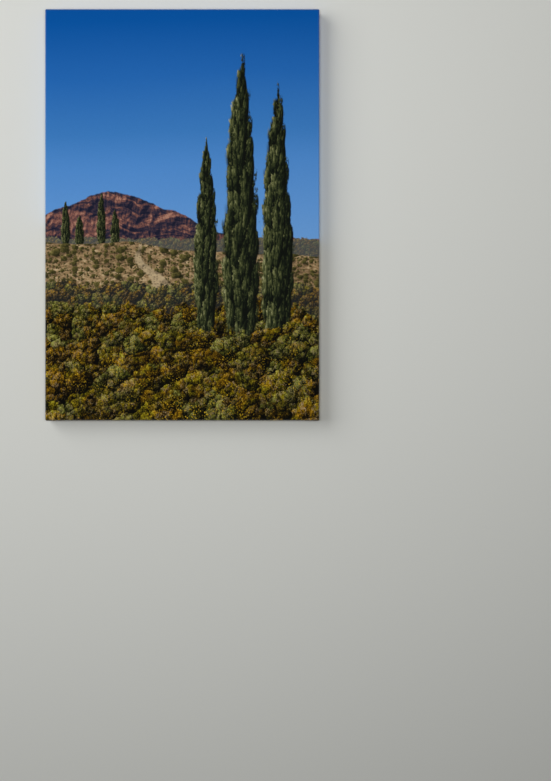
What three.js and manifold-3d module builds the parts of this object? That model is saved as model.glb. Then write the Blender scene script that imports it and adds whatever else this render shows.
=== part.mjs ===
// A portrait canvas print: printed cloth stretched over a mitred wooden frame, hung on a wall by a toothed hanger.
// Millimetres, +X to the right as seen from the front, +Y towards the wall, +Z up.
// The origin is the middle of the hanger's flat back, which rests on the wall plane y = 0.
import * as THREE from "three";
import { mergeVertices } from "three/addons/utils/BufferGeometryUtils.js";
import Module from "manifold-3d";

// Driving dimensions
const PRINT_WIDTH = 609.6;
const PRINT_HEIGHT = 914.4;
const PRINT_DEPTH = 38.1;
const STAND_OFF = 3.3; // from the wall to the back of the folded cloth
const HANGER_DROP = 17; // from the print's top edge to the hanger's middle
const GAP = 0.3; // air between pieces that touch

const CLOTH = 0.6; // thickness of the coated cloth
const CLOTH_RADIUS = 2.5; // outside radius where the cloth turns over the frame
const CLOTH_ARC_STEPS = 4;
const FLAP = 28; // width of the cloth folded over the back

const BAR_WIDTH = 32;
const BEAD_WIDTH = 6; // the only part of a bar that the cloth's front touches
const BEAD_FALL = 2.5; // step down behind the bead
const BEVEL_FALL = 6; // how far the bar's front has fallen at its inner edge
const BACK_CHAMFER = 2;
const BAR_ARC_STEPS = 4;
const TONGUE_THICKNESS = 6; // of the joint hidden inside each mitre
const TONGUE_MARGIN = 7; // wood left outside the tongue
const TONGUE_STOP = 2; // wood left between the tongue and the frame's inner corner

const BRACE_HEIGHT = 38;
const BRACE_THICKNESS = 18;
const TENON_LENGTH = 12;
const TENON_HEIGHT = 26;
const TENON_THICKNESS = 8;

const KEY_THICKNESS = 3.2;
const KEY_LENGTH = 36;
const KEY_WIDTH = 17; // at the end that is tapped in
const KEY_TIP_WIDTH = 11; // at the end inside the bar
const KEY_DEPTH = 14; // how far a key goes into its bar
const KEY_CHAMFER = 1.5;
const KEY_LEVELS = { rail: 0.36, stile: 0.62 }; // share of the bar's depth from its front

const HANGER_LENGTH = 48;
const HANGER_HEIGHT = 10;
const HANGER_THICKNESS = 0.9;
const HANGER_TAB = 10; // flat end that lies on the frame
const HANGER_RAMP = 2.6;
const HANGER_CORNER = 2;
const TOOTH_PITCH = 2.8;
const TOOTH_DEPTH = 1.8;
const TOOTH_COUNT = 7;

const NAIL_RADIUS = 0.8;
const NAIL_HEAD_RADIUS = 2.1;
const NAIL_HEAD_HEIGHT = 0.7;
const NAIL_LENGTH = 14;
const NAIL_SIDES = 16;

const BUMPER_RADIUS = 7;
const BUMPER_HEIGHT = STAND_OFF - GAP;
const BUMPER_EDGE = 0.6;
const BUMPER_INSET = 17; // from the print's side and bottom edges
const BUMPER_SIDES = 32;

// Places worked out from them
const TOP = HANGER_DROP;
const BOTTOM = TOP - PRINT_HEIGHT;
const MIDDLE = (TOP + BOTTOM) / 2;
const BACK = -STAND_OFF; // outside of the folded cloth
const FRONT = BACK - PRINT_DEPTH; // the printed face
const WRAP = CLOTH + GAP;
const FRAME_WIDTH = PRINT_WIDTH - 2 * WRAP;
const FRAME_HEIGHT = PRINT_HEIGHT - 2 * WRAP;
const FRAME_FRONT = FRONT + WRAP;
const FRAME_BACK = BACK - WRAP;
const BAR_DEPTH = FRAME_BACK - FRAME_FRONT;
const BAR_RADIUS = CLOTH_RADIUS - WRAP;
const INNER_WIDTH = FRAME_WIDTH - 2 * BAR_WIDTH;
const INNER_HEIGHT = FRAME_HEIGHT - 2 * BAR_WIDTH;
const NAIL_SPACING = HANGER_LENGTH - HANGER_TAB;

const wasm = await Module();
wasm.setup();

// Materials
const plain = (color, roughness, metalness = 0) =>
  new THREE.MeshStandardMaterial({ color, roughness, metalness });
const MATERIALS = {
  canvas: plain(0x2a5a94, 0.75),
  pine: plain(0xd9b98a, 0.65),
  beech: plain(0xcfa06e, 0.6),
  steel: plain(0xc2c3c4, 0.35, 1),
  rubber: plain(0x3b3c3e, 0.85),
};

// A closed geometry as a solid that can be cut and joined.
function solidOf(geometry) {
  const bare = (geometry.index ? geometry.toNonIndexed() : geometry).clone();
  for (const name of Object.keys(bare.attributes)) {
    if (name !== "position") bare.deleteAttribute(name);
  }
  const merged = mergeVertices(bare, 1e-4);
  return new wasm.Manifold(
    new wasm.Mesh({
      numProp: 3,
      vertProperties: merged.attributes.position.array,
      triVerts: new Uint32Array(merged.index.array),
    }),
  );
}

function meshOf(name, solid, material) {
  const { numProp, vertProperties, triVerts } = solid.getMesh();
  const count = vertProperties.length / numProp;
  const places = new Float32Array(count * 3);
  for (let i = 0; i < count; i++) {
    places.set(vertProperties.subarray(i * numProp, i * numProp + 3), i * 3);
  }
  const geometry = new THREE.BufferGeometry()
    .setAttribute("position", new THREE.BufferAttribute(places, 3))
    .setIndex(new THREE.BufferAttribute(new Uint32Array(triVerts), 1))
    .toNonIndexed();
  geometry.computeVertexNormals();
  const mesh = new THREE.Mesh(geometry, material);
  mesh.name = name;
  return mesh;
}

const shapeOf = (points) => new THREE.Shape(points.map(([x, y]) => new THREE.Vector2(x, y)));

// An outline drawn in x and z, seen from the front, and given thickness from y = low to y = high.
function plate(shape, low, high) {
  const geometry = new THREE.ExtrudeGeometry(shape, { depth: high - low, bevelEnabled: false });
  return solidOf(geometry.rotateX(Math.PI / 2).translate(0, high, 0));
}

function block(width, depth, height, x, y, z) {
  return solidOf(new THREE.BoxGeometry(width, depth, height).translate(x, y, z));
}

// A block with rounded edges round its front and its back, from y = low to y = high.
function roundedBlock(width, height, low, high, radius) {
  const [w, h] = [width / 2 - radius, height / 2 - radius];
  const shape = shapeOf([[-w, -h], [w, -h], [w, h], [-w, h]]);
  const geometry = new THREE.ExtrudeGeometry(shape, {
    depth: high - low - 2 * radius,
    bevelThickness: radius,
    bevelSize: radius,
    bevelSegments: CLOTH_ARC_STEPS,
  });
  return solidOf(geometry.rotateX(Math.PI / 2).translate(0, high - radius, MIDDLE));
}

// A round piece turned about a line along y: profile points are [radius, y].
function turned(profile, sides, x, z) {
  const points = profile.map(([r, y]) => new THREE.Vector2(r, y));
  return solidOf(new THREE.LatheGeometry(points, sides).translate(x, 0, z));
}

const nailPlaces = [-1, 1].map((side) => (side * NAIL_SPACING) / 2);

function nailHole(x) {
  const radius = NAIL_RADIUS + GAP;
  const low = BACK - NAIL_LENGTH - GAP;
  return turned([[0, low], [radius, low], [radius, 1], [0, 1]], NAIL_SIDES, x, 0);
}

// The cloth: a front, four sides and a border folded over the back, open in the middle of the back.
function canvas() {
  const outside = roundedBlock(PRINT_WIDTH, PRINT_HEIGHT, FRONT, BACK, CLOTH_RADIUS);
  const inside = roundedBlock(
    PRINT_WIDTH - 2 * CLOTH,
    PRINT_HEIGHT - 2 * CLOTH,
    FRONT + CLOTH,
    BACK - CLOTH,
    CLOTH_RADIUS - CLOTH,
  );
  const opening = block(
    PRINT_WIDTH - 2 * FLAP,
    4 * CLOTH,
    PRINT_HEIGHT - 2 * FLAP,
    0,
    BACK,
    MIDDLE,
  );
  const shell = outside.subtract(inside).subtract(opening);
  return nailPlaces.reduce((cloth, x) => cloth.subtract(nailHole(x)), shell);
}

// A bar's section: across is measured from its outer edge, and back from its front.
function barSection() {
  const section = new THREE.Shape();
  section.moveTo(0, BAR_RADIUS);
  section.absarc(BAR_RADIUS, BAR_RADIUS, BAR_RADIUS, Math.PI, 1.5 * Math.PI);
  section.lineTo(BEAD_WIDTH, 0);
  section.lineTo(BEAD_WIDTH + BEAD_FALL, BEAD_FALL);
  section.lineTo(BAR_WIDTH, BEVEL_FALL);
  section.lineTo(BAR_WIDTH, BAR_DEPTH - BACK_CHAMFER);
  section.lineTo(BAR_WIDTH - BACK_CHAMFER, BAR_DEPTH);
  section.lineTo(BAR_RADIUS, BAR_DEPTH);
  section.absarc(BAR_RADIUS, BAR_DEPTH - BAR_RADIUS, BAR_RADIUS, Math.PI / 2, Math.PI);
  return section;
}

// A bar along x under the line z = 0, centred on x = 0, with both ends cut to the mitre.
function mitredBar(length) {
  const geometry = new THREE.ExtrudeGeometry(barSection(), {
    depth: length,
    bevelEnabled: false,
    curveSegments: BAR_ARC_STEPS,
  });
  // The section's across goes to -z, its back to +y, and the extrusion to x.
  const turn = new THREE.Matrix4().makeBasis(
    new THREE.Vector3(0, 0, -1),
    new THREE.Vector3(0, 1, 0),
    new THREE.Vector3(1, 0, 0),
  );
  geometry.applyMatrix4(turn).translate(-length / 2, FRAME_FRONT, 0);
  const outer = length / 2 - GAP / Math.SQRT2;
  const inner = outer - BAR_WIDTH;
  const over = BAR_RADIUS;
  const ends = shapeOf([
    [-outer - over, over],
    [-inner + over, -BAR_WIDTH - over],
    [inner - over, -BAR_WIDTH - over],
    [outer + over, over],
  ]);
  const margin = 1;
  return solidOf(geometry).intersect(plate(ends, FRAME_FRONT - margin, FRAME_BACK + margin));
}

// A wedge's outline, with its tip up: one straight edge on x = 0, the other sloping.
function keyOutline(grow = 0) {
  const low = KEY_DEPTH - KEY_LENGTH;
  const [tip, wide] = [KEY_TIP_WIDTH + grow, KEY_WIDTH + grow];
  return shapeOf([
    [-grow, low + KEY_CHAMFER],
    [KEY_CHAMFER - grow, low],
    [wide - KEY_CHAMFER, low],
    [wide, low + KEY_CHAMFER],
    [tip, KEY_DEPTH - KEY_CHAMFER + grow],
    [tip - KEY_CHAMFER, KEY_DEPTH + grow],
    [KEY_CHAMFER - grow, KEY_DEPTH + grow],
    [-grow, KEY_DEPTH - KEY_CHAMFER + grow],
  ]);
}

// The tongue at the top rail's left end, or, grown by the gap, the pocket for it in the stile.
function cornerTongue(grow = 0) {
  const [low, high] = [TONGUE_MARGIN - grow, BAR_WIDTH - TONGUE_STOP + grow];
  return block(
    high - low,
    TONGUE_THICKNESS + 2 * grow,
    high - low,
    (low + high - FRAME_WIDTH) / 2,
    FRAME_FRONT + BAR_DEPTH / 2,
    MIDDLE + (FRAME_HEIGHT - low - high) / 2,
  );
}

function keyLevel(kind) {
  return FRAME_FRONT + BAR_DEPTH * KEY_LEVELS[kind];
}

// A wedge that goes up into the top rail at its left end, or, grown by the gap, the slot that it sits in.
function railKey(grow = 0) {
  const half = KEY_THICKNESS / 2 + grow;
  const level = keyLevel("rail");
  return plate(keyOutline(grow), level - half, level + half).translate([
    -INNER_WIDTH / 2 + GAP,
    0,
    MIDDLE + INNER_HEIGHT / 2,
  ]);
}

// The same wedge turned to go sideways into the left stile under the top rail.
function stileKey(grow = 0) {
  const half = KEY_THICKNESS / 2 + grow;
  const level = keyLevel("stile");
  return plate(keyOutline(grow), level - half, level + half)
    .mirror([1, 0, 0])
    .rotate([0, -90, 0])
    .translate([-INNER_WIDTH / 2, 0, MIDDLE + INNER_HEIGHT / 2 - GAP]);
}

// The same piece mirrored to the frame's other side or end.
function mirrored(solid, right, low) {
  let made = solid;
  if (right) made = made.mirror([1, 0, 0]);
  if (low) made = made.translate([0, 0, -MIDDLE]).mirror([0, 0, 1]).translate([0, 0, MIDDLE]);
  return made;
}

const CORNERS = [
  { name: "top_left", right: false, low: false },
  { name: "top_right", right: true, low: false },
  { name: "bottom_left", right: false, low: true },
  { name: "bottom_right", right: true, low: true },
];

function rail(low) {
  let bar = mitredBar(FRAME_WIDTH).translate([0, 0, MIDDLE + FRAME_HEIGHT / 2]);
  for (const right of [false, true]) {
    bar = bar.add(mirrored(cornerTongue(), right, false));
    bar = bar.subtract(mirrored(railKey(GAP), right, false));
  }
  bar = mirrored(bar, false, low);
  return low ? bar : nailPlaces.reduce((cut, x) => cut.subtract(nailHole(x)), bar);
}

function stile(right) {
  let bar = mitredBar(FRAME_HEIGHT).rotate([0, -90, 0]).translate([-FRAME_WIDTH / 2, 0, MIDDLE]);
  for (const low of [false, true]) {
    bar = bar.subtract(mirrored(cornerTongue(GAP), false, low));
    bar = bar.subtract(mirrored(stileKey(GAP), false, low));
  }
  return mirrored(bar.subtract(braceTenons(GAP)), right, false);
}

// The tenons' levels follow the brace, which is flush with the back of the frame.
const BRACE_MIDDLE = FRAME_BACK - BRACE_THICKNESS / 2;

function braceTenons(grow = 0) {
  return block(
    INNER_WIDTH + 2 * (TENON_LENGTH + grow),
    TENON_THICKNESS + 2 * grow,
    TENON_HEIGHT + 2 * grow,
    0,
    BRACE_MIDDLE,
    MIDDLE,
  );
}

function brace() {
  const beam = block(
    INNER_WIDTH - 2 * GAP,
    BRACE_THICKNESS,
    BRACE_HEIGHT,
    0,
    BRACE_MIDDLE,
    MIDDLE,
  );
  return beam.add(braceTenons());
}

// The toothed hanger: flat tabs on the frame, and a raised middle whose lower edge bites on a nail.
function hanger() {
  const end = HANGER_LENGTH / 2;
  const foot = end - HANGER_TAB;
  const crest = foot - HANGER_RAMP;
  const under = BACK + GAP;
  const t = HANGER_THICKNESS;
  const half = [[end, under], [end, under + t], [foot, under + t], [crest, 0]];
  const lower = [[crest, -t], [foot, under]];
  const strip = [
    ...half,
    ...half.toReversed().map(([x, y]) => [-x, y]),
    ...lower.toReversed().map(([x, y]) => [-x, y]),
    ...lower,
  ];
  const geometry = new THREE.ExtrudeGeometry(shapeOf(strip), {
    depth: HANGER_HEIGHT,
    bevelEnabled: false,
  });
  let made = solidOf(geometry.translate(0, 0, -HANGER_HEIGHT / 2));
  const [w, h, r] = [end, HANGER_HEIGHT / 2, HANGER_CORNER];
  const outline = new THREE.Shape();
  outline.absarc(w - r, h - r, r, 0, Math.PI / 2);
  outline.absarc(r - w, h - r, r, Math.PI / 2, Math.PI);
  outline.absarc(r - w, r - h, r, Math.PI, 1.5 * Math.PI);
  outline.absarc(w - r, r - h, r, 1.5 * Math.PI, 2 * Math.PI);
  made = made.intersect(plate(outline, BACK, 1));
  for (let i = 0; i < TOOTH_COUNT; i++) {
    const x = (i - (TOOTH_COUNT - 1) / 2) * TOOTH_PITCH;
    const notch = shapeOf([
      [x - TOOTH_PITCH / 2, -h - 1],
      [x + TOOTH_PITCH / 2, -h - 1],
      [x, -h + TOOTH_DEPTH],
    ]);
    made = made.subtract(plate(notch, BACK, 1));
  }
  return nailPlaces.reduce((cut, x) => cut.subtract(nailHole(x)), made);
}

function nail(x) {
  const seat = BACK + HANGER_THICKNESS + 2 * GAP;
  const tip = BACK - NAIL_LENGTH;
  const profile = [
    [0, tip],
    [NAIL_RADIUS, tip + 2 * NAIL_RADIUS],
    [NAIL_RADIUS, seat],
    [NAIL_HEAD_RADIUS, seat],
    [NAIL_HEAD_RADIUS, seat + NAIL_HEAD_HEIGHT / 2],
    [NAIL_HEAD_RADIUS / 2, seat + NAIL_HEAD_HEIGHT],
    [0, seat + NAIL_HEAD_HEIGHT],
  ];
  return turned(profile, NAIL_SIDES, x, 0);
}

function bumper(side) {
  const low = -BUMPER_HEIGHT;
  const profile = [
    [0, low],
    [BUMPER_RADIUS, low],
    [BUMPER_RADIUS, -BUMPER_EDGE],
    [BUMPER_RADIUS - BUMPER_EDGE, 0],
    [0, 0],
  ];
  const x = side * (PRINT_WIDTH / 2 - BUMPER_INSET);
  return turned(profile, BUMPER_SIDES, x, BOTTOM + BUMPER_INSET);
}

const print = new THREE.Group();
const add = (name, solid, material) => print.add(meshOf(name, solid, MATERIALS[material]));

add("canvas", canvas(), "canvas");
add("rail_top", rail(false), "pine");
add("rail_bottom", rail(true), "pine");
add("stile_left", stile(false), "pine");
add("stile_right", stile(true), "pine");
add("brace", brace(), "pine");
for (const { name, right, low } of CORNERS) {
  add(`rail_key_${name}`, mirrored(railKey(), right, low), "beech");
  add(`stile_key_${name}`, mirrored(stileKey(), right, low), "beech");
}
add("hanger", hanger(), "steel");
add("nail_left", nail(nailPlaces[0]), "steel");
add("nail_right", nail(nailPlaces[1]), "steel");
add("bumper_left", bumper(-1), "rubber");
add("bumper_right", bumper(1), "rubber");

export default print;
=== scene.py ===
"""A canvas print with a printed landscape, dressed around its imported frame. Metres, in the frame's axes."""

import bisect
import math
import random

import bmesh
import bpy
import numpy as np
from mathutils import Matrix, Vector, noise


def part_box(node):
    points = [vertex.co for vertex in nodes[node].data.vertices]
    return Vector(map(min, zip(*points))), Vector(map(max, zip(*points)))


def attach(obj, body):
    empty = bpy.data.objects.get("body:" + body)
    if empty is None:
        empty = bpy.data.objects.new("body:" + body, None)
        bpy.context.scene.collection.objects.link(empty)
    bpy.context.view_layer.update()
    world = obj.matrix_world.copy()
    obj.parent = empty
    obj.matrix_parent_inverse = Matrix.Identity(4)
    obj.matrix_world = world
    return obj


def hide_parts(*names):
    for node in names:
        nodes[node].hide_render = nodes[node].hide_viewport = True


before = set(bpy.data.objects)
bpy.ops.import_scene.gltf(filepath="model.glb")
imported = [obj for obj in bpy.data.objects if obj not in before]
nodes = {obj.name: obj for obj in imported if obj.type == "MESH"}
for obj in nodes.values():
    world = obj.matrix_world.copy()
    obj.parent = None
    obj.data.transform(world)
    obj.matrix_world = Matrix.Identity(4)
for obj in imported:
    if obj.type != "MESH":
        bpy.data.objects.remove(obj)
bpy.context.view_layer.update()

MM = 0.001
low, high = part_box("canvas")
WIDTH, HEIGHT = high.x - low.x, high.z - low.z
FRONT, BACK = low.y, high.y
MIDDLE_Z = (low.z + high.z) / 2

# The cloth
RIM = 2.5 * MM  # outside radius where it turns over the frame
ARC = RIM * math.pi / 2
SIDE = BACK - FRONT - 2 * RIM
FLAP = 28 * MM  # how wide the border on the back is
FLAP_RUN = FLAP - RIM
SIDE_END = ARC + SIDE  # distances past where the front rim begins
BACK_RIM_END = SIDE_END + ARC
CLOTH = 0.5 * MM
HALF_X, HALF_Z = WIDTH / 2 - RIM, HEIGHT / 2 - RIM  # to where the rims begin
FLAT_X, FLAT_Z = [2 * (half + BACK_RIM_END + FLAP_RUN) for half in (HALF_X, HALF_Z)]
BLEED = 5 * MM  # how far the picture runs on over the back
INK = 1.02  # how much lighter the ink is than it shows in this light

# How it lies
SAG = 0.9 * MM  # how far the middle of the front lies behind its rims
SAG_START_X, SAG_START_Z = 1 / 6, 1 / 9  # the share of each half over which the sag sets in
SAG_WAVES = [(5, 4, 0.3, 0.22), (14, 12, 4.0, 0.07)]  # how close across and up, the seed, the share of it
FOLD_PROUD = 1.0 * MM  # how far a folded corner stands out
FOLD_RISE = 10 * MM  # the way down the side over which it comes to stand out
TUCK_RAMP = 3 * MM
FLAP_FOLD_RISE = 4 * MM
FLAP_FOLD_PAST = 2 * MM  # how far the fold on the back reaches past the border
FLAP_FOLD_SHARE = 0.6
DIMPLE = 9 * MM  # how far round it a staple holds the border down
LOOSE, RIPPLE = 0.35 * MM, 0.75 * MM  # how far the border lifts elsewhere
RIPPLE_WAVES = (22, 7.0)  # how close, and the seed
TRIM = 1.1 * MM  # how uneven its cut edge is
TRIM_WAVES = (31, 2.0)

# Its grid
GRID = 6 * MM
NEAR_RIM = [0.0, 0.15 * MM, 0.45 * MM, 1.0 * MM, 2.0 * MM, 4.0 * MM]  # closer lines beside a rim
RIM_STEPS, SIDE_STEPS, FLAP_STEPS = 5, 8, 8
TINY = 1e-9  # no more than rounding
SAME_PLACE = 1e-6  # points nearer than this are joined

# Staples on the back
STAPLE_SPACING = 50 * MM
STAPLE_INSET = 14 * MM
STAPLE_FIRST, STAPLE_SECOND = STAPLE_INSET * 1.6, 40 * MM  # from the end of a side
STAPLE_SLIP_IN, STAPLE_SLIP_ALONG, STAPLE_SKEW = 1.5 * MM, 3 * MM, 5  # the skew in degrees
STAPLE_CROWN = 10 * MM
STAPLE_WIDTH = 1.25 * MM
STAPLE_THICKNESS = 0.55 * MM
STAPLE_BEND = 0.5 * MM
STAPLE_LEG = 2 * MM
STAPLE_LIFT = 0.05 * MM
KEEP_OFF = {"hanger": 32 * MM, "bumper_left": 14 * MM, "bumper_right": 14 * MM}  # how near a staple may come
KEEP_OFF_Z = 12 * MM

# Loose ends along the cut edge
THREAD_SPACING = 4.5 * MM
THREAD_RADIUS = 0.13 * MM
THREAD_SHORTEST, THREAD_LONGEST = 0.8 * MM, 3.2 * MM
THREAD_LEAN = 0.35
THREAD_CURL, THREAD_BENDS = 0.5 * MM, 5  # how far it curls, and through how many radians
THREAD_TUCK = 0.4 * MM  # how far it begins inside the cloth
THREAD_LIFT, THREAD_WAVES = 0.15 * MM, 4  # the same for how it rises and falls
THREAD_TAPER = 0.6  # the share of its radius that is gone at its tip
THREAD_STEPS, THREAD_SIDES = 5, 3

# The frame's solids
BAR_PITHS = {  # how far the pith of its log lies from the bar's middle, across the bar and back
    "rail_top": (45 * MM, 30 * MM),
    "rail_bottom": (23 * MM, 42 * MM),
    "stile_left": (1 * MM, 54 * MM),
    "stile_right": (-21 * MM, 66 * MM),
    "brace": (-43 * MM, 78 * MM),
}
KEY_PITH = (0.2, 0.1)  # the same for every key
BAR_RINGS, KEY_RINGS = 2.6 * MM, 1.4 * MM  # how wide a year's growth is
BAR_EDGE, KEY_EDGE, STEEL_EDGE, RUBBER_EDGE = 0.5 * MM, 0.25 * MM, 0.12 * MM, 0.3 * MM  # how far rounded
SHARP = math.radians(28)  # edges that turn further than this are rounded
ROUNDING_STEPS = 2
# Each knot: where it is along the bar, how far across from the bar's middle, and how big
KNOTS = {"brace": [(0.117, 6 * MM, 7 * MM)], "stile_left": [(-0.31, 0.0, 6 * MM)]}
# Early wood, late wood and fibres
PINE = ((228, 203, 158), (196, 152, 98), (206, 174, 126))
BEECH = ((216, 182, 142), (196, 156, 114), (204, 166, 124))


def srgb(*channels):
    """An 8-bit display colour as the linear one that shaders take."""
    shares = [c / 255 for c in channels]
    linear = [s / 12.92 if s <= 0.04045 else ((s + 0.055) / 1.055) ** 2.4 for s in shares]
    return (*linear, 1.0)


def smooth(t):
    """An ease from 0 to 1."""
    t = min(1.0, max(0.0, t))
    return t * t * (3 - 2 * t)


# Shader nodes written as sums

UNSEEN = 1e-9  # a share of a colour that is too small to show


class Num:
    """A number that shader nodes work out. The usual operators add the nodes that do them."""

    def __init__(self, graph, socket):
        self.graph, self.socket = graph, socket

    def __add__(self, other):
        return self.graph.math("ADD", self, other)

    def __sub__(self, other):
        return self.graph.math("SUBTRACT", self, other)

    def __rsub__(self, other):
        return self.graph.math("SUBTRACT", other, self)

    def __mul__(self, other):
        return self.graph.math("MULTIPLY", self, other)

    def __truediv__(self, other):
        return self.graph.math("DIVIDE", self, other)

    def __rtruediv__(self, other):
        return self.graph.math("DIVIDE", other, self)

    def __abs__(self):
        return self.graph.math("ABSOLUTE", self)

    def __neg__(self):
        return self.graph.math("MULTIPLY", self, -1.0)

    __radd__, __rmul__ = __add__, __mul__


class Graph:
    """Adds nodes to a material, each after the nodes that it reads."""

    def __init__(self, tree):
        self.tree = tree

    def feed(self, socket, value):
        if isinstance(value, Num):
            value = value.socket
        if isinstance(value, bpy.types.NodeSocket):
            self.tree.links.new(value, socket)
        else:
            socket.default_value = value

    def add(self, kind, inputs=None, **settings):
        node = self.tree.nodes.new("ShaderNode" + kind)
        for name, value in settings.items():
            setattr(node, name, value)
        for name, value in (inputs or {}).items():
            self.feed(node.inputs[name], value)
        return node

    def math(self, operation, *values):
        node = self.add("Math", dict(enumerate(values)), operation=operation)
        return Num(self, node.outputs[0])

    def larger(self, a, b):
        return self.math("MAXIMUM", a, b)

    def smaller(self, a, b):
        return self.math("MINIMUM", a, b)

    def rise(self, value, start, end):
        """0 below start, 1 above end, eased between. With start above end it falls."""
        flip = start > end
        span = {"Value": value, "From Min": min(start, end), "From Max": max(start, end)}
        span |= {"To Min": 1.0 if flip else 0.0, "To Max": 0.0 if flip else 1.0}
        node = self.add("MapRange", span, interpolation_type="SMOOTHSTEP")
        return Num(self, node.outputs[0])

    def vector(self, x, y, z=0.0):
        return self.add("CombineXYZ", {"X": x, "Y": y, "Z": z}).outputs[0]

    def split(self, vector):
        return [Num(self, part) for part in self.add("SeparateXYZ", {0: vector}).outputs]

    def red(self, colour):
        return Num(self, self.add("SeparateColor", {0: colour}).outputs[0])

    def noise(self, x, y, scale, detail=3.0, rough=0.5, seed=0.0):
        settings = {"Vector": self.vector(x, y, seed), "Scale": scale, "Detail": detail, "Roughness": rough}
        return Num(self, self.add("TexNoise", settings).outputs[0])

    def cells(self, x, y, scale, seed=0.0):
        """Round cells: how far the nearest middle is, a random number for its cell, and the way from it."""
        sx, sy = x * scale + seed, y * scale + seed
        settings = {"Vector": self.vector(sx, sy), "Scale": 1.0}
        node = self.add("TexVoronoi", settings, voronoi_dimensions="2D")
        middle_x, middle_y, _ = self.split(node.outputs["Position"])
        chance = self.red(node.outputs["Color"])
        return Num(self, node.outputs["Distance"]), chance, sx - middle_x, sy - middle_y

    def curve(self, value, points):
        """A smooth curve through points (x, y), both from 0 to 1."""
        node = self.add("FloatCurve", {"Value": value})
        line = node.mapping.curves[0]
        line.points[0].location, line.points[1].location = points[0], points[-1]
        for point in points[1:-1]:
            line.points.new(*point)
        node.mapping.update()
        return Num(self, node.outputs[0])

    def ramp(self, value, *stops):
        """Colours along a number: stops are (place, display colour)."""
        node = self.add("ValToRGB", {"Fac": value})
        elements = node.color_ramp.elements
        elements[0].position, elements[0].color = stops[0][0], srgb(*stops[0][1])
        elements[1].position, elements[1].color = stops[-1][0], srgb(*stops[-1][1])
        for place, colour in stops[1:-1]:
            elements.new(place).color = srgb(*colour)
        return node.outputs[0]

    def after(self, colour, *values):
        """The same values, worked out once the colour is, because only a few unfinished sums can be held."""
        red = self.red(colour)
        return [self.math("MULTIPLY_ADD", red, UNSEEN, value) for value in values]

    def mix(self, share, under, over, how="MIX"):
        node = self.add("Mix", {0: share, 6: under, 7: over}, data_type="RGBA", blend_type=how)
        return node.outputs[2]


class Layer:
    """A layer of paint as a node group: written once, and laid down as often as it is called."""

    def __init__(self, paint, *names):
        self.tree = bpy.data.node_groups.new(paint.__name__, "ShaderNodeTree")
        face = self.tree.interface
        face.new_socket("under", in_out="INPUT", socket_type="NodeSocketColor")
        for name in ("x", "y", *names):
            face.new_socket(name, in_out="INPUT", socket_type="NodeSocketFloat")
        face.new_socket("colour", in_out="OUTPUT", socket_type="NodeSocketColor")
        g = Graph(self.tree)
        under, *given = list(self.tree.nodes.new("NodeGroupInput").outputs)[:-1]
        x, y, *values = (Num(g, socket) for socket in given)
        painted = paint(g, x, y, under, *values)
        g.feed(self.tree.nodes.new("NodeGroupOutput").inputs[0], painted)

    def __call__(self, g, x, y, colour, *values):
        return g.add("Group", dict(enumerate((colour, x, y, *values))), node_tree=self.tree).outputs[0]


# The printed picture. x runs from 0 to 1 over the front's width, and y in the same unit up from its foot.


def in_picture(u, v):
    """The picture's x and y at a place on the flat cloth, which is in metres from its middle."""
    return u / WIDTH + 0.5, v / WIDTH + HEIGHT / WIDTH / 2


def sky(g, x, y):
    haze = (g.noise(x, y * 2.0, 1.3, 2, 0.5, 1.0) - 0.5) * 0.06
    return g.ramp(
        (y - 0.6) / 0.95 + haze - x * 0.03,
        (0.0, (104, 154, 211)),
        (0.15, (92, 146, 208)),
        (0.33, (76, 134, 200)),
        (0.46, (57, 119, 186)),
        (0.68, (33, 99, 173)),
        (0.9, (3, 80, 156)),
        (1.0, (0, 74, 149)),
    )


def far_ridge(g, x, y, colour):
    """A long red-brown ridge, high on the left, with bands of rock and gullies in shade."""
    hump = g.rise(abs(x - 0.24), 0.52, 0.0)
    crest = 0.66 + hump * 0.17 + (g.noise(x, 0.0, 3.1, 6, 0.55, 2.0) - 0.5) * 0.13
    warp = g.noise(x, y, 7.0, 3, 0.5, 3.0)
    bent = x + warp * 0.05
    rock = g.noise(bent, y * 0.7, 15.0, 6, 0.7, 4.0)
    beside = g.noise(bent + 0.006, y * 0.7 - 0.006, 15.0, 6, 0.7, 4.0)
    bands = g.noise(x * 0.35, y * 4.0 + warp * 0.5, 10.0, 4, 0.6, 5.0)
    cliff = g.rise(bands, 0.44, 0.56) * 0.3 - 0.15
    light = 0.46 + (beside - rock) * 3.6 + (bands - 0.5) * 0.6 + cliff + (y - crest) * 0.5
    face = g.ramp(
        light,
        (0.08, (24, 26, 44)),
        (0.32, (50, 43, 58)),
        (0.5, (86, 60, 60)),
        (0.68, (122, 80, 72)),
        (0.95, (170, 124, 104)),
    )
    edge = g.noise(x, y, 60.0, 2, 0.5, 6.0) * 0.006
    return g.mix(g.rise(crest + edge - y, 0.0, 0.006), colour, face)


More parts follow.
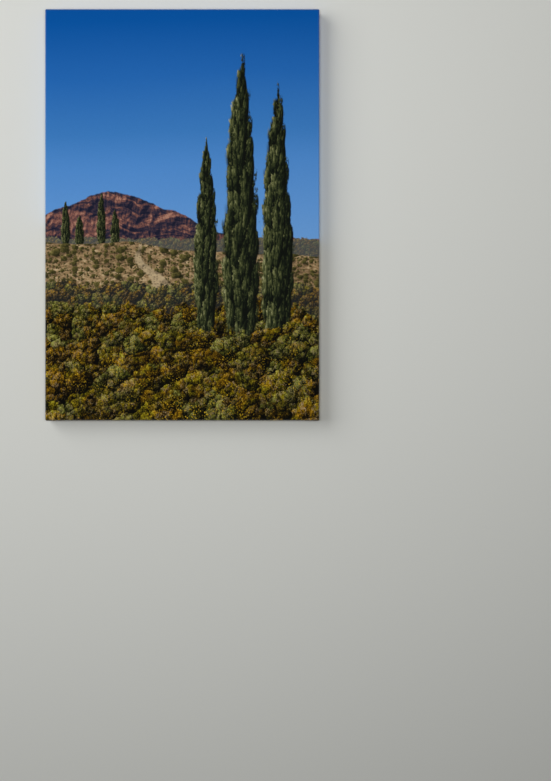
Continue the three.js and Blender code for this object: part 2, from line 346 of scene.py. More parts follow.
def sandy_slope(g, x, y, colour):
    """A pale slope that falls to the right, dotted with stones and low scrub, with a path winding up it."""
    crest = 0.665 - x * 0.075 + (g.noise(x, 0.0, 2.6, 3, 0.5, 11.0) - 0.5) * 0.09
    grit = g.noise(x, y * 2.2, 46.0, 4, 0.74, 12.0)
    patch = g.noise(x, y * 2.5, 5.0, 4, 0.6, 13.0)
    ground = g.ramp(
        grit * 0.95 + patch * 0.6 - 0.26,
        (0.26, (58, 43, 30)),
        (0.41, (110, 88, 60)),
        (0.56, (158, 131, 94)),
        (0.74, (212, 188, 148)),
    )
    middle = 0.36 + 0.075 * g.math("SINE", y * 26.0 + 1.1) * g.rise(y, 0.72, 0.42)
    width = g.rise(y, 0.70, 0.36) * 0.05 + 0.004
    path = g.rise(width - abs(x - middle) + (grit - 0.5) * 0.03, -0.002, 0.008)
    ground = g.mix(path * 0.6, ground, srgb(192, 172, 136))
    bent_x, bent_y = x + (grit - 0.5) * 0.012, y * 1.35 + (patch - 0.5) * 0.06
    for scale, seed in ((95.0, 5.0), (44.0, 3.0), (25.0, 8.0)):
        away, chance, dx, dy = g.cells(bent_x, bent_y, scale, seed)
        ragged = (g.noise(x, y, scale * 4, 3, 0.7, seed) - 0.5) * 0.8
        body = chance * 0.7 - 0.12 + ragged * 0.8 - away
        scrub = g.rise(body, 0.0, 0.08) * (1.0 - path)
        shade = g.rise(body + (dx * 0.5 - dy * 0.8), 0.0, 0.3) * 0.45
        leaf = g.ramp(
            0.45 + (dy - dx) * 0.45 + ragged * 1.2,
            (0.1, (20, 21, 11)),
            (0.4, (56, 53, 26)),
            (0.65, (96, 88, 46)),
            (0.95, (150, 138, 80)),
        )
        ground = g.mix(shade, ground, srgb(38, 30, 26))
        ground = g.mix(scrub, ground, leaf)
    return g.mix(g.rise(crest - y, 0.0, 0.004), colour, ground)


# A slim tree's outline: how far up it, and how wide there
TREE_OUTLINE = [(0.0, 0.42), (0.1, 0.72), (0.3, 1.0), (0.55, 0.88), (0.8, 0.56), (0.93, 0.26), (1.0, 0.0)]


def cypress(g, x, y, colour, middle, foot, height, half, seed):
    """One tall, slim tree, lit from the left, its plumes running up and out from the trunk."""
    up = (y - foot) / height
    lean = middle + (g.noise(y, 0.0, 3.0 / height, 2, 0.5, seed) - 0.5) * half * 0.5
    outline = g.curve(up, TREE_OUTLINE) * half
    side = x - lean
    across = side / (outline + half * 0.08)
    rising = (y - abs(side) * 1.4) * 0.27
    fine = g.noise(x, y * 0.42, 6.0 / half, 5, 0.8, seed + 2.0)
    bend = (fine - 0.5) * half * 0.55
    away, chance, dx, dy = g.cells(side + bend, rising, 2.7 / half, seed)
    near, tone, ex, ey = g.cells(side + bend * 0.6, rising + bend * 0.2, 8.5 / half, seed + 4.0)
    ragged = outline + (fine - 0.5) * half * 0.45 + (0.45 - away) * half * 0.3 - abs(side)
    shape = g.rise(ragged / half, -0.03, 0.08) * g.rise(up, 0.0, 0.02)
    light = 0.5 - across * 0.22 + (dy * 0.45 - dx * 0.75) * 0.42 - away * 0.3 + (chance - 0.5) * 0.12
    light = light + (ey * 0.4 - ex) * 0.22 - near * 0.18 + (tone - 0.5) * 0.1 + (fine - 0.5) * 1.6
    leaf = g.ramp(
        light,
        (0.1, (9, 13, 8)),
        (0.3, (24, 31, 17)),
        (0.48, (54, 60, 33)),
        (0.66, (92, 96, 58)),
        (0.84, (142, 141, 98)),
        (1.0, (190, 186, 146)),
    )
    return g.mix(shape, colour, leaf)


def bushes(g, x, y, colour, crest, size, seed, haze, gold):
    """One row of scrub: clumps of twigs that fan out upwards, their leaves bright on top and on the left."""
    bend_x = g.noise(x, y, 2.4 / size, 3, 0.62, seed)
    bend_y = g.noise(x, y, 2.4 / size, 3, 0.62, seed + 0.5)
    qx, qy = x + (bend_x - 0.5) * size * 0.5, y + (bend_y - 0.5) * size * 0.5
    leaf_scale = 60.0 + 4.5 / size
    fine = g.noise(x, y * 0.8, leaf_scale, 4, 0.9, seed + 1.0)
    grain = (fine - 0.5) * size * 0.07
    sway = g.noise(x, 0.0, 0.42 / size, 3, 0.55, seed + 1.5)
    below = (crest - y) / size + (sway - 0.5) * 2.2 + (bend_y - 0.5) * 1.2 + (fine - 0.5) * 0.5
    away, chance, dx, dy = g.cells(qx + grain, qy - grain, 1.5 / size, seed)
    fan = dx / (dy + 1.3)
    streak = g.noise(fan, dy * 0.16 + chance * 7.0, 15.0, 3, 0.6, seed + 7.0)
    near, tone, ex, ey = g.cells(x + (bend_y - 0.5) * size * 0.2 - grain, y - grain, 5.2 / size, seed + 3.0)
    leaf_away, fleck, fx, fy = g.cells(x + grain * 0.3, y, leaf_scale * 1.7, seed + 2.0)
    in_leaf = g.rise(leaf_away, 0.6, 0.15)
    light = 0.58 + (dy - dx) * 0.2 - away * 0.14 + (ey - ex * 0.8) * 0.15 - near * 0.16
    light = light + (tone - 0.5) * 0.14 + ((fleck - 0.5) * 0.3 + fy - fx) * in_leaf * 0.3 - leaf_away * 0.1
    light = light + (fine - 0.5) * 1.3 + (streak - 0.5) * 0.8 - g.smaller(below, 1.6) * 0.07
    leaf = g.ramp(
        light,
        (0.18, (3, 3, 1)),
        (0.34, (30, 25, 3)),
        (0.48, (82, 66, 6)),
        (0.64, (132, 108, 13)),
        (0.8, (180, 154, 48)),
        (1.0, (224, 206, 132)),
    )
    grey = g.ramp(
        light,
        (0.18, (4, 5, 2)),
        (0.36, (42, 43, 17)),
        (0.52, (88, 86, 42)),
        (0.72, (144, 138, 88)),
        (1.0, (208, 202, 160)),
    )
    leaf = g.mix(g.rise(chance + (bend_x - 0.5) * 0.8, 0.6, 0.85) * 0.6, leaf, grey)
    warm, cool = (1.12, 0.9, 0.8, 1.0), (0.86, 1.04, 0.8, 1.0)
    tint = g.mix(g.rise(bend_y + (chance - 0.5) * 0.3, 0.38, 0.62), warm, cool)
    leaf = g.mix(1.0, leaf, tint, how="MULTIPLY")
    twig = g.rise(abs(streak - 0.47), 0.03, 0.0) * g.rise(light, 0.25, 0.5) * g.rise(tone, 0.35, 0.7)
    leaf = g.mix(twig * 0.55, leaf, srgb(190, 166, 132))
    flowering = g.rise(g.noise(x, y, 1.3 / size, 2, 0.5, seed + 6.0), 0.44, 0.62)
    petal, lucky, px, py = g.cells(x + grain, y - grain, 72.0 + 9.0 / size, seed + 5.0)
    bloom = g.rise(lucky * 0.52 - petal + (fine - 0.5) * 0.8, 0.0, 0.2) * in_leaf * flowering * gold
    yellow = g.mix(0.55 + (py - px) * 0.8 + (fine - 0.5), srgb(132, 94, 2), srgb(226, 188, 40))
    leaf = g.mix(bloom, leaf, yellow)
    leaf = g.mix(haze, leaf, srgb(112, 116, 116))
    return g.mix(g.rise(below, 0.0, 0.09), colour, leaf)


ridge_layer = Layer(far_ridge)
slope_layer = Layer(sandy_slope)
tree_layer = Layer(cypress, "middle", "foot", "height", "half", "seed")
bush_layer = Layer(bushes, "crest", "size", "seed", "haze", "gold")

FAR = 9.0  # beyond the picture on every side
# What is painted, from far to near: the layer, its own values, and how low and how high up it shows
PAINT = [
    (ridge_layer, (), (0.58, 0.86)),
    (bush_layer, (0.665, 0.02, 21.0, 0.35, 0.0), (0.54, 0.71)),
    (tree_layer, (0.075, 0.63, 0.17, 0.017, 30.0), (0.62, 0.81)),
    (tree_layer, (0.125, 0.63, 0.12, 0.017, 34.0), (0.62, 0.76)),
    (tree_layer, (0.205, 0.63, 0.20, 0.017, 38.0), (0.62, 0.84)),
    (tree_layer, (0.255, 0.63, 0.14, 0.017, 42.0), (0.62, 0.78)),
    (slope_layer, (), (0.42, 0.73)),
    (bush_layer, (0.50, 0.05, 41.0, 0.08, 0.0), (0.29, 0.58)),
    (bush_layer, (0.42, 0.075, 44.0, 0.0, 0.6), (0.17, 0.54)),
    (tree_layer, (0.585, 0.29, 0.73, 0.045, 50.0), (0.28, 1.03)),
    (tree_layer, (0.845, 0.24, 0.98, 0.058, 54.0), (0.23, 1.23)),
    (tree_layer, (0.715, 0.18, 1.16, 0.066, 58.0), (0.17, 1.35)),
    (bush_layer, (0.32, 0.10, 61.0, 0.0, 0.8), (0.0, 0.47)),
    (bush_layer, (0.20, 0.13, 65.0, 0.0, 0.9), (-1.0, 0.40)),
    (bush_layer, (0.07, 0.17, 69.0, 0.0, 1.0), (-1.0, 0.32)),
]

# The cloth is cut into tiles for its material alone. Each is painted with the few layers that show on it.
TILE_X = (-FAR, 0.5, FAR)
TILE_Y = (-FAR, 0.40, 0.88, FAR)
TILES = [(*TILE_X[i : i + 2], *TILE_Y[j : j + 2]) for i in range(2) for j in range(3)]


def tile_at(x, y):
    """The number of the tile that a place in the picture is on."""
    for number, (left, right, bottom, top) in enumerate(TILES):
        if left <= x < right and bottom <= y < top:
            return number


def spread(layer, values):
    """From where to where across the picture a layer shows."""
    if layer is not tree_layer:
        return -FAR, FAR
    middle, _, _, half, _ = values
    return middle - 2 * half, middle + 2 * half


def picture(g, x, y, tile):
    """The part of the landscape on one tile, painted from the sky to the nearest scrub."""
    left, right, bottom, top = tile
    colour = sky(g, x, y)
    for layer, values, (lowest, highest) in PAINT:
        leftmost, rightmost = spread(layer, values)
        if leftmost < right and rightmost > left and lowest < top and highest > bottom:
            x, y = g.after(colour, x, y)
            colour = layer(g, x, y, colour, *values)
    return colour


# Materials


def new_material(name):
    material = bpy.data.materials.new(name)
    material.use_nodes = True
    shader = material.node_tree.nodes["Principled BSDF"]
    return material, Graph(material.node_tree), shader


def set_bump(g, shader, height, strength, depth):
    bump = g.add("Bump", {"Height": height, "Strength": strength, "Distance": depth})
    g.feed(shader.inputs["Normal"], bump.outputs[0])


def in_object(g):
    """The place in the frame's own axes, in metres."""
    return g.split(g.add("TexCoord").outputs["Object"])


def on_cloth(g):
    """The cloth's own coordinates, in metres from the middle of the picture."""
    u, v, _ = g.split(g.add("UVMap", uv_map="cloth").outputs[0])
    return u, v


def cloth_threads(g, u, v):
    """The height of a woven cloth, from 0 to 1: uneven threads both ways."""
    warp = g.noise(u, v * 0.05, 1400.0, 2, 0.5, 1.0)
    weft = g.noise(u * 0.05, v, 1400.0, 2, 0.5, 2.0)
    slub = g.noise(u, v, 330.0, 2, 0.6, 3.0)
    return g.larger(warp, weft) * 0.8 + slub * 0.2


def printed_cloth(tile):
    """The picture in ink on the weave, paled along the rims by wear and a painted highlight, and bare beyond
    its edge on the back.
    """
    material, g, shader = new_material("printed_cloth")
    u, v = on_cloth(g)
    weave = cloth_threads(g, u, v)
    colour = picture(g, *in_picture(u, v), tile)
    ink = INK * (0.85 + weave * 0.255)
    colour = g.mix(1.0, colour, g.vector(ink, ink, ink), how="MULTIPLY")
    # Along the rims the ink is paled. This is partly wear and partly a painted highlight that lifts the shade
    # where the cloth turns over the frame.
    from_rims = [abs(abs(at) - half - ARC / 2) for at, half in ((u, HALF_X), (v, HALF_Z))]
    bent = g.rise(g.smaller(*from_rims), ARC * 0.8, 0.0)
    wear_and_highlight = bent * (0.04 + g.rise(weave, 0.5, 0.75) * 0.2)
    colour = g.mix(wear_and_highlight, colour, srgb(205, 203, 196))
    past_x = abs(u) - (HALF_X + BACK_RIM_END + BLEED)
    past_z = abs(v) - (HALF_Z + BACK_RIM_END + BLEED)
    ragged = (g.noise(u, v, 300.0, 2, 0.5, 7.0) - 0.5) * 0.8 * MM
    bare = g.rise(g.larger(past_x, past_z) + ragged, 0.0, 0.4 * MM)
    white = g.mix(weave, srgb(214, 210, 198), srgb(240, 237, 228))
    g.feed(shader.inputs["Base Color"], g.mix(bare, colour, white))
    g.feed(shader.inputs["Roughness"], 0.5 + weave * 0.2)
    shader.inputs["Specular IOR Level"].default_value = 0.03
    set_bump(g, shader, weave, 0.5, 0.25 * MM)
    return material


def bare_cloth():
    """The unprinted inside of the cloth, seen in the open back."""
    material, g, shader = new_material("bare_cloth")
    u, v = on_cloth(g)
    weave = cloth_threads(g, u, v)
    stain = g.noise(u, v, 5.0, 4, 0.6, 9.0)
    colour = g.mix(weave, srgb(176, 166, 144), srgb(226, 219, 202))
    colour = g.mix(g.rise(stain, 0.45, 0.8) * 0.25, colour, srgb(205, 190, 158))
    g.feed(shader.inputs["Base Color"], colour)
    shader.inputs["Roughness"].default_value = 0.9
    shader.inputs["Specular IOR Level"].default_value = 0.25
    set_bump(g, shader, weave, 0.5, 0.3 * MM)
    return material


def thread_ends():
    """The loose threads along the cut edge."""
    material, g, shader = new_material("thread_ends")
    x, y, z = in_object(g)
    twist = g.noise(x + y, z, 1600.0, 2, 0.6)
    g.feed(shader.inputs["Base Color"], g.mix(twist, srgb(196, 190, 172), srgb(242, 238, 226)))
    shader.inputs["Roughness"].default_value = 0.9
    shader.inputs["Specular IOR Level"].default_value = 0.25
    set_bump(g, shader, twist, 0.4, 0.05 * MM)
    return material


def wood(name, grain, tones, pith, ring, seed, knots):
    """Sawn wood whose grain runs along x or z.

    tones are its early wood, late wood and fibres. pith is where the log's middle lies, across the piece.
    Each knot is how far along it lies, how far across, and how big it is.
    """
    material, g, shader = new_material(name)
    x, y, z = in_object(g)
    along, across = (x, z) if grain == "x" else (z, x)
    wander = (g.noise(along, across * 0.3, 2.2, 3, 0.5, seed) - 0.5) * 22 * MM
    drift = (g.noise(along, y * 0.3, 3.1, 3, 0.5, seed + 1.0) - 0.5) * 14 * MM
    a, b = across - pith[0] + wander, y - pith[1] + drift
    radius = g.math("SQRT", a * a + b * b)
    for k_along, k_across, size in knots:
        da, dc = (along - k_along) / (size * 2.2), (across - k_across) / size
        near = g.math("EXPONENT", -(da * da + dc * dc))
        radius = radius + near * size * 0.9
    count = radius / ring + g.noise(along, across, 9.0, 3, 0.5, seed + 2.0) * 1.5
    share = g.math("FRACT", count)
    late = g.rise(share, 0.35, 0.9) * g.rise(share, 1.0, 0.93)
    fibre = g.noise(along * 0.02, across, 1400.0, 3, 0.5, seed=y)
    colour = g.mix(late * 0.8, srgb(*tones[0]), srgb(*tones[1]))
    colour = g.mix(g.rise(fibre, 0.35, 0.75) * 0.35, colour, srgb(*tones[2]))
    for k_along, k_across, size in knots:
        da, dc = (along - k_along) / size, (across - k_across) / (size * 0.8)
        core = g.rise(da * da + dc * dc, 0.35, 0.12)
        colour = g.mix(core * 0.9, colour, srgb(104, 62, 36))
    g.feed(shader.inputs["Base Color"], colour)
    g.feed(shader.inputs["Roughness"], 0.6 + fibre * 0.2)
    shader.inputs["Specular IOR Level"].default_value = 0.35
    set_bump(g, shader, fibre * 0.6 - late * 0.5, 0.4, 0.2 * MM)
    return material


def zinc():
    """Plated steel, cloudy and finely brushed."""
    material, g, shader = new_material("zinc")
    x, y, z = in_object(g)
    brushed = g.noise(x * 0.08, z + y, 3000.0, 2, 0.5)
    cloudy = g.noise(x, z + y, 350.0, 3, 0.6, 2.0)
    g.feed(shader.inputs["Base Color"], g.mix(cloudy, srgb(168, 168, 163), srgb(214, 213, 206)))
    shader.inputs["Metallic"].default_value = 1.0
    g.feed(shader.inputs["Roughness"], 0.25 + cloudy * 0.25)
    set_bump(g, shader, brushed, 0.2, 0.05 * MM)
    return material


def rubber():
    """Black rubber with a little dust on it."""
    material, g, shader = new_material("rubber")
    x, y, z = in_object(g)
    grit = g.noise(x + y, z, 900.0, 4, 0.7)
    dust = g.noise(x, z + y, 160.0, 3, 0.6, 2.0)
    colour = g.mix(g.rise(dust, 0.4, 0.8) * 0.5, srgb(34, 34, 36), srgb(84, 83, 80))
    g.feed(shader.inputs["Base Color"], colour)
    g.feed(shader.inputs["Roughness"], 0.7 + grit * 0.25)
    set_bump(g, shader, grit, 0.3, 0.15 * MM)
    return material


# Pieces


def add_object(name, data):
    item = bpy.data.objects.new(name, data)
    bpy.context.scene.collection.objects.link(item)
    return item


def new_piece(name, mesh):
    """The finished mesh as a piece of the scene."""
    data = bpy.data.meshes.new(name)
    mesh.to_mesh(data)
    mesh.free()
    return add_object(name, data)


def soften(piece, width, shape="sawn"):
    """Rounds a piece's edges and shades it to suit its shape: sawn, turned or stamped."""
    weld = piece.modifiers.new("weld", "WELD")
    weld.merge_threshold = SAME_PLACE
    bevel = piece.modifiers.new("edges", "BEVEL")
    bevel.width, bevel.segments = width, ROUNDING_STEPS
    bevel.limit_method, bevel.angle_limit = "ANGLE", SHARP
    bevel.harden_normals = shape == "sawn"
    if shape == "turned":
        piece.modifiers.new("shading", "WEIGHTED_NORMAL")
    for face in piece.data.polygons:
        face.use_smooth = shape != "stamped"


def dress(piece, material):
    piece.data.materials.clear()
    piece.data.materials.append(material)


def middle_of(name):
    lowest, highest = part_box(name)
    return (lowest + highest) / 2


def dress_wood(name, grain, tones, off, ring, seed, knots=()):
    """Dresses one of the frame's solids. off is how far its pith lies from its middle, across and back."""
    middle = middle_of(name)
    across = middle.x if grain == "z" else middle.z
    pith = (across + off[0], middle.y + off[1])
    knots = [(along, across + beside, size) for along, beside, size in knots]
    dress(nodes[name], wood(name, grain, tones, pith, ring, seed, knots))


# The cloth: one grid over the flat cloth, wrapped round the frame


def steps(start, end, count):
    return [start + (end - start) * i / count for i in range(1, count + 1)]


def stations(half):
    """Signed stations along one axis of the flat cloth: (place inside the rims, distance beyond them)."""
    count = round((half - NEAR_RIM[-1]) * 2 / GRID)
    inner = steps(-half + NEAR_RIM[-1], half - NEAR_RIM[-1], count)[:-1]
    inside = [-half + d for d in NEAR_RIM] + inner + [half - d for d in reversed(NEAR_RIM)]
    past = steps(0.0, ARC, RIM_STEPS) + steps(ARC, SIDE_END, SIDE_STEPS)
    past += steps(SIDE_END, BACK_RIM_END, RIM_STEPS)
    past += steps(BACK_RIM_END, BACK_RIM_END + FLAP_RUN, FLAP_STEPS)
    left = [(-half, d) for d in reversed(past)]
    return left + [(place, 0.0) for place in inside] + [(half, d) for d in past]


def profile(distance):
    """Round the frame's edge: offset outwards, y, and the outside normal as (outwards, y)."""
    if distance <= ARC:
        turn = distance / RIM
        return RIM * math.sin(turn), FRONT + RIM * (1 - math.cos(turn)), math.sin(turn), -math.cos(turn)
    distance -= ARC
    if distance <= SIDE:
        return RIM, FRONT + RIM + distance, 1.0, 0.0
    distance -= SIDE
    if distance <= ARC:
        turn = distance / RIM
        return RIM * math.cos(turn), BACK - RIM * (1 - math.sin(turn)), math.cos(turn), math.sin(turn)
    return ARC - distance, BACK, 0.0, 1.0


def front_sag(x, z):
    """The front lies a little behind its rims, with faint slow waves."""
    share_x, share_z = abs(x) / HALF_X, abs(z) / HALF_Z
    inside = min(1.0, (1 - share_x) / SAG_START_X) * min(1.0, (1 - share_z) / SAG_START_Z)
    bowl = (1 - share_x**2) * (1 - share_z**2)
    waves = sum(noise.noise(Vector((x * a, z * b, seed))) * deep for a, b, seed, deep in SAG_WAVES)
    return SAG * smooth(inside) * (bowl + waves)


def corner_fold(distance, from_crease):
    """How proud the top or bottom sheet lies over the cloth that is tucked under it at a corner."""
    down = max(0.0, distance - ARC)
    proud = FOLD_PROUD * smooth(down / FOLD_RISE)
    under = smooth((down + TUCK_RAMP - from_crease) / TUCK_RAMP)
    flap = smooth((down - SIDE - ARC) / FLAP_FOLD_RISE)
    under_flap = smooth((FLAP + FLAP_FOLD_PAST - from_crease) / TUCK_RAMP) * flap
    shoulder = min(1.0, from_crease / FOLD_PROUD)
    return proud * (under + FLAP_FOLD_SHARE * under_flap) * math.sqrt(1 - (1 - shoulder) ** 2)


def over_one_rim(a, b):
    """A point past one rim, or past both and down a side, where the top or bottom sheet lies uppermost."""
    (ax, ad), (bz, bd) = a, b
    upright = bd > ad
    distance, other = (bd, ad) if upright else (ad, bd)
    main, side = (HALF_Z, HALF_X) if upright else (HALF_X, HALF_Z)
    out, y, n_out, n_y = profile(distance)
    turn = math.atan(math.sin(other / RIM))
    first = main + out * math.cos(turn)
    second = side + out * math.sin(turn) if other else abs(ax if upright else bz)
    if upright:
        from_crease = HALF_X - abs(ax) + RIM * (math.pi / 4 - turn) * max(0.0, n_out)
        proud = corner_fold(distance, from_crease)
        first += proud * n_out * math.cos(turn)
        second += proud * n_out * math.sin(turn)
        y += proud * n_y
    x, z = (second, first) if upright else (first, second)
    return Vector((math.copysign(x, ax), y, math.copysign(z, bz)))


def over_corner(a, b):
    """A point on the round front corner, where two rims meet."""
    (ax, ad), (bz, bd) = a, b
    forwards = min(math.cos(ad / RIM), math.cos(bd / RIM))
    facing = Vector((math.sin(ad / RIM), -forwards, math.sin(bd / RIM))).normalized() * RIM
    x, z = HALF_X + facing.x, HALF_Z + facing.z
    return Vector((math.copysign(x, ax), FRONT + RIM + facing.y, math.copysign(z, bz)))


def wrapped(a, b):
    """Where a point of the flat cloth goes. a and b are its stations across and up."""
    nearer, further = sorted((a[1], b[1]))
    if not further:
        return Vector((a[0], FRONT + front_sag(a[0], b[0]), b[0]))
    if nearer and further <= ARC:
        return over_corner(a, b)
    return over_one_rim(a, b)


def waves_at(at, close, seed):
    """Smooth random waves over the back, from -1 to 1."""
    return noise.noise(Vector((at.x * close, at.z * close, seed)))


def settle(at, share, level, spots):
    """Lifts a point of the border between staples. share grows to 1 at the cut edge, which is made uneven."""
    gap = np.hypot(*(spots - (at.x, at.z)).T).min()
    loose = 1 - math.exp(-((gap / DIMPLE) ** 2))
    ripple = 0.5 + waves_at(at, *RIPPLE_WAVES)
    at.y += loose * smooth(share * 2) * (LOOSE + RIPPLE * ripple * share)
    trim = waves_at(at, *TRIM_WAVES) * TRIM * share**2
    if level:
        at.z += math.copysign(trim, at.z)
    else:
        at.x += math.copysign(trim, at.x)


def build_cloth(name, staples):
    """The wrapped cloth, and the points along each half of each of its cut edges."""
    across, upward = stations(HALF_X), stations(HALF_Z)
    spots = np.array([(x, z) for x, z, _ in staples])
    mesh = bmesh.new()
    layer = mesh.loops.layers.uv.new("cloth")
    grid, flat, cut = {}, {}, {}
    for i, a in enumerate(across):
        for j, b in enumerate(upward):
            nearer, further = sorted((a[1], b[1]))
            if nearer > ARC + TINY or (nearer > 0 and further > BACK_RIM_END + TINY):
                continue
            at = wrapped(a, b)
            level = b[1] > a[1]
            beyond = further - BACK_RIM_END
            if beyond > 0:
                settle(at, beyond / FLAP_RUN, level, spots)
            at.z += MIDDLE_Z
            if beyond > FLAP_RUN - TINY:
                cut.setdefault((level, at.x > 0, at.z > MIDDLE_Z), []).append(at)
            grid[i, j] = mesh.verts.new(at)
            flat[i, j] = tuple(math.copysign(abs(place) + past, place) for place, past in (a, b))
    for i in range(len(across) - 1):
        for j in range(len(upward) - 1):
            keys = [(i, j), (i + 1, j), (i + 1, j + 1), (i, j + 1)]
            if any(k not in grid for k in keys):
                continue
            face = mesh.faces.new([grid[k] for k in keys])
            face.smooth = True
            middle = (sum(flat[k][axis] for k in keys) / 4 for axis in (0, 1))
            face.material_index = tile_at(*in_picture(*middle))
            for loop, key in zip(face.loops, keys):
                loop[layer].uv = flat[key]
    bmesh.ops.remove_doubles(mesh, verts=mesh.verts, dist=SAME_PLACE)
    cloth = new_piece(name, mesh)
    thick = cloth.modifiers.new("thickness", "SOLIDIFY")
    thick.thickness, thick.offset = CLOTH, -1.0
    thick.material_offset = thick.material_offset_rim = len(TILES)
    return cloth, cut


def add_thread(mesh, dice, start, inward, along):
    """One loose thread, from just inside the cloth to its tip."""
    reach = dice.uniform(THREAD_SHORTEST, THREAD_LONGEST)
    lean = dice.gauss(0, THREAD_LEAN)
    curl = dice.uniform(-THREAD_CURL, THREAD_CURL)
    turns = [math.tau * side / THREAD_SIDES for side in range(THREAD_SIDES)]
    round_it = [along * math.cos(t) + Vector((0, math.sin(t), 0)) for t in turns]
    rings = []
    for k in range(THREAD_STEPS + 1):
        run = k / THREAD_STEPS
        middle = start + inward * (reach * run - THREAD_TUCK)
        middle += along * (lean * reach * run**2 + curl * math.sin(run * THREAD_BENDS))
        middle.y += THREAD_LIFT * math.sin(run * THREAD_WAVES)
        radius = THREAD_RADIUS * (1 - THREAD_TAPER * run)
        rings.append([mesh.verts.new(middle + way * radius) for way in round_it])
    mesh.faces.new(rings[0])
    mesh.faces.new(rings[-1][::-1])
    for first, second in zip(rings, rings[1:]):
        for n in range(THREAD_SIDES):
            mesh.faces.new([first[n], second[n], second[n - 1], first[n - 1]])


def build_threads(name, cut):
    """Short frayed ends that lie on the bars, from each half of each cut edge towards the middle."""
    dice = random.Random(5)
    mesh = bmesh.new()
    for (level, right, upper), edge in cut.items():
        inward = Vector((0, 0, -1 if upper else 1)) if level else Vector((-1 if right else 1, 0, 0))
        along = Vector((1, 0, 0)) if level else Vector((0, 0, 1))
        marks = [at.dot(along) for at in edge]
        for _ in range(round((marks[-1] - marks[0]) / THREAD_SPACING)):
            spot = dice.uniform(marks[0], marks[-1])
            n = bisect.bisect_left(marks, spot, 1) - 1
            start = edge[n].lerp(edge[n + 1], (spot - marks[n]) / (marks[n + 1] - marks[n]))
            start.y -= CLOTH / 2
            add_thread(mesh, dice, start, inward, along)
    bmesh.ops.recalc_face_normals(mesh, faces=mesh.faces)
    for face in mesh.faces:
        face.smooth = True
    return new_piece(name, mesh)


def staple_places():
    """Each staple's middle on the back, and its turn about y."""
    dice = random.Random(11)
    kept_off = [(middle_of(name), reach) for name, reach in KEEP_OFF.items()]
    places = []
    for half, other in ((WIDTH / 2, HEIGHT / 2), (HEIGHT / 2, WIDTH / 2)):
        upright = half == WIDTH / 2
        count = round((2 * other - 2 * STAPLE_INSET) / STAPLE_SPACING)
        run = steps(-other + STAPLE_SECOND, other - STAPLE_SECOND, count - 1)
        run = [-other + STAPLE_FIRST, *run, other - STAPLE_FIRST]
        for side in (-1, 1):
            for along in run:
                inset = half - STAPLE_INSET + dice.uniform(-STAPLE_SLIP_IN, STAPLE_SLIP_IN)
                slide = along + dice.uniform(-STAPLE_SLIP_ALONG, STAPLE_SLIP_ALONG)
                turn = dice.gauss(0, STAPLE_SKEW) + (90 if upright else 0)
                x, z = (side * inset, slide) if upright else (slide, side * inset)
                gaps = [
                    math.hypot((x - there.x) / reach, (z - there.z + MIDDLE_Z) / KEEP_OFF_Z)
                    for there, reach in kept_off
                ]
                if min(gaps) > 1:
                    places.append((x, z, math.radians(turn)))
    return places


def build_staples(name, places):
    """Flat wire staples, pressed into the cloth."""
    mesh = bmesh.new()
    half, top, leg = STAPLE_CROWN / 2, STAPLE_THICKNESS, -STAPLE_LEG
    outer = [(-half, leg), (-half, top - STAPLE_BEND), (-half + STAPLE_BEND, top)]
    outer += [(-x, y) for x, y in reversed(outer)]
    inner = [(half - top, leg), (half - top, 0.0), (-half + top, 0.0), (-half + top, leg)]
    for x, z, turn in places:
        spin = Matrix.Rotation(turn, 4, "Y")
        middle = Vector((x, BACK + STAPLE_LIFT, z + MIDDLE_Z))
        first, second = (
            [mesh.verts.new(spin @ Vector((px, py, side)) + middle) for px, py in outer + inner]
            for side in (-STAPLE_WIDTH / 2, STAPLE_WIDTH / 2)
        )
        mesh.faces.new(first)
        mesh.faces.new(second[::-1])
        for k in range(len(first)):
            n = (k + 1) % len(first)
            mesh.faces.new([first[n], first[k], second[k], second[n]])
    bmesh.ops.recalc_face_normals(mesh, faces=mesh.faces)
    piece = new_piece(name, mesh)
    soften(piece, STEEL_EDGE)
    return piece


staples = staple_places()
cloth, cut = build_cloth("cloth", staples)
for tile in TILES:
    cloth.data.materials.append(printed_cloth(tile))
cloth.data.materials.append(bare_cloth())
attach(cloth, "root")
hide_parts("canvas")

threads = build_threads("frayed_edge", cut)
dress(threads, thread_ends())
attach(threads, "root")

metal = zinc()
wires = build_staples("staples", staples)
dress(wires, metal)
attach(wires, "root")

# The frame's own solids
for i, (name, off) in enumerate(BAR_PITHS.items()):
    grain = "z" if name.startswith("stile") else "x"
    dress_wood(name, grain, PINE, off, BAR_RINGS, 10.0 * i, KNOTS.get(name, ()))
    soften(nodes[name], BAR_EDGE)
for name in nodes:
    if "_key_" in name:
        grain = "x" if name.startswith("stile") else "z"
        dress_wood(name, grain, BEECH, KEY_PITH, KEY_RINGS, len(name))
        soften(nodes[name], KEY_EDGE)
for name in ("hanger", "nail_left", "nail_right"):
    dress(nodes[name], metal)
    soften(nodes[name], STEEL_EDGE, "stamped" if name == "hanger" else "turned")
pad = rubber()
for name in ("bumper_left", "bumper_right"):
    dress(nodes[name], pad)
    soften(nodes[name], RUBBER_EDGE, "turned")

# The room: a pale wall and a pale floor, each seen only from its front
HUNG = 1.45  # how high the print's middle hangs over the floor
FLOOR_Z = MIDDLE_Z - HUNG
WALL_TOP = 3.0
ROOM = 6.0  # how far it runs to either side, forwards and back


def flat_panel(name, corners, material):
    data = bpy.data.meshes.new(name)
    data.from_pydata(corners, [], [(0, 1, 2, 3)])
    data.materials.append(material)
    panel = add_object(name, data)
    return panel


def one_sided(name, colour):
    """A matt paint that is seen only from its front, so the room hides nothing from any side."""
    material, g, shader = new_material(name)
    shader.inputs["Base Color"].default_value = colour
    shader.inputs["Roughness"].default_value = 0.95
    shader.inputs["Specular IOR Level"].default_value = 0.1
    behind = g.add("NewGeometry").outputs["Backfacing"]
    clear = g.add("BsdfTransparent")
    either = g.add("MixShader", {0: behind, 1: shader.outputs[0], 2: clear.outputs[0]})
    g.feed(material.node_tree.nodes["Material Output"].inputs["Surface"], either.outputs[0])
    return material, shader


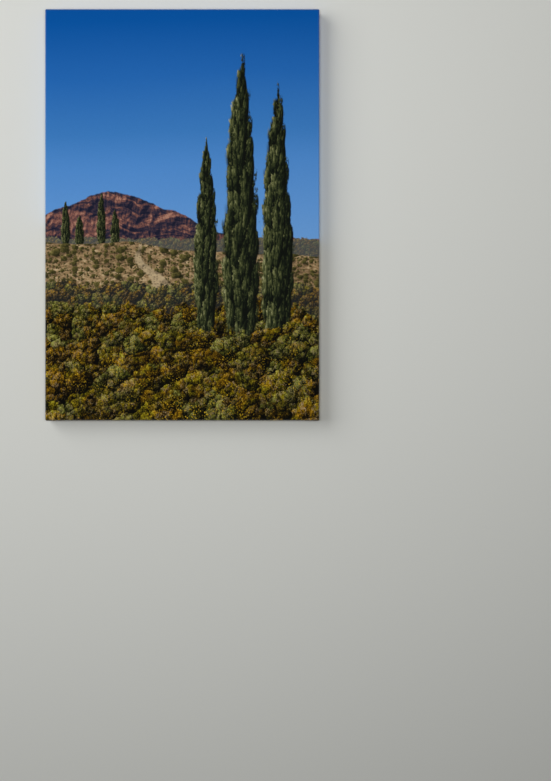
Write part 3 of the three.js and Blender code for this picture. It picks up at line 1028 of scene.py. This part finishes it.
wall_paint, _ = one_sided("wall_paint", srgb(214, 215, 210))
floor_paint, glow = one_sided("floor_paint", srgb(140, 138, 133))
glow.inputs["Emission Color"].default_value = srgb(226, 224, 218)
glow.inputs["Emission Strength"].default_value = 0.45
wall_corners = [(-ROOM, 0, FLOOR_Z), (ROOM, 0, FLOOR_Z), (ROOM, 0, WALL_TOP), (-ROOM, 0, WALL_TOP)]
floor_plan = [(-ROOM, -ROOM), (ROOM, -ROOM), (ROOM, ROOM), (-ROOM, ROOM)]
wall = flat_panel("wall", wall_corners, wall_paint)
floor = flat_panel("floor", [(x, y, FLOOR_Z) for x, y in floor_plan], floor_paint)
wall.visible_shadow = wall.visible_glossy = wall.visible_transmission = False
wall.visible_diffuse = floor.visible_diffuse = False

# Each light: its place, the point that it faces, its width and height, and its power in watts.
# The last three stand behind the wall's plane, so they light the print's back and sides and nothing else.
LIGHTS = {
    "key": ((-2.92, -2.88, 1.08), (0.99, 0, 1.13), (3.7, 4.7), 149),
    "fill": ((0.19, -2.86, -0.74), (0, 0, 2.15), (0.74, 0.59), 47),
    "back_light": ((0.9, 3.0, 2.4), (0, 0.6, -1.0), (3.0, 2.0), 190),
    "right_light": ((3.2, 0.9, 0.2), (0, 0, MIDDLE_Z), (1.6, 1.6), 30),
    "left_light": ((-3.2, 1.3, 0.0), (0, 0, MIDDLE_Z), (1.6, 1.6), 40),
}
for name, (at, towards, size, power) in LIGHTS.items():
    data = bpy.data.lights.new(name, "AREA")
    data.shape, data.energy = "RECTANGLE", power
    data.size, data.size_y = size
    light = add_object(name, data)
    light.location = at
    light.rotation_euler = (Vector(towards) - Vector(at)).to_track_quat("-Z", "Y").to_euler()
    light.visible_camera = False

AMBIENT, BACKDROP = 0.09, 0.6  # the room's own light, and how much brighter the camera sees it
world = bpy.data.worlds.new("room")
world.use_nodes = True
room = Graph(world.node_tree)
background = world.node_tree.nodes["Background"]
background.inputs["Color"].default_value = srgb(232, 233, 230)
camera_ray = Num(room, room.add("LightPath").outputs["Is Camera Ray"])
room.feed(background.inputs["Strength"], AMBIENT + camera_ray * BACKDROP)
bpy.context.scene.world = world
bpy.context.scene.view_settings.view_transform = "Standard"

# The camera stands square to the wall, to the right of the print's middle and below it, as in the photo.
CAMERA_FROM_FRONT = 3.0
CAMERA_RIGHT, CAMERA_BELOW = 0.2072, 0.3907
VIEW_HEIGHT = 1.7358  # of the plane through the printed face that the frame takes in
SENSOR = 36.0
lens = bpy.data.cameras.new("camera")
lens.sensor_width = SENSOR
lens.lens = SENSOR * CAMERA_FROM_FRONT / VIEW_HEIGHT
camera = add_object("camera", lens)
camera.location = (CAMERA_RIGHT, FRONT - CAMERA_FROM_FRONT, MIDDLE_Z - CAMERA_BELOW)
camera.rotation_euler = (math.radians(90), 0, 0)
bpy.context.scene.camera = camera
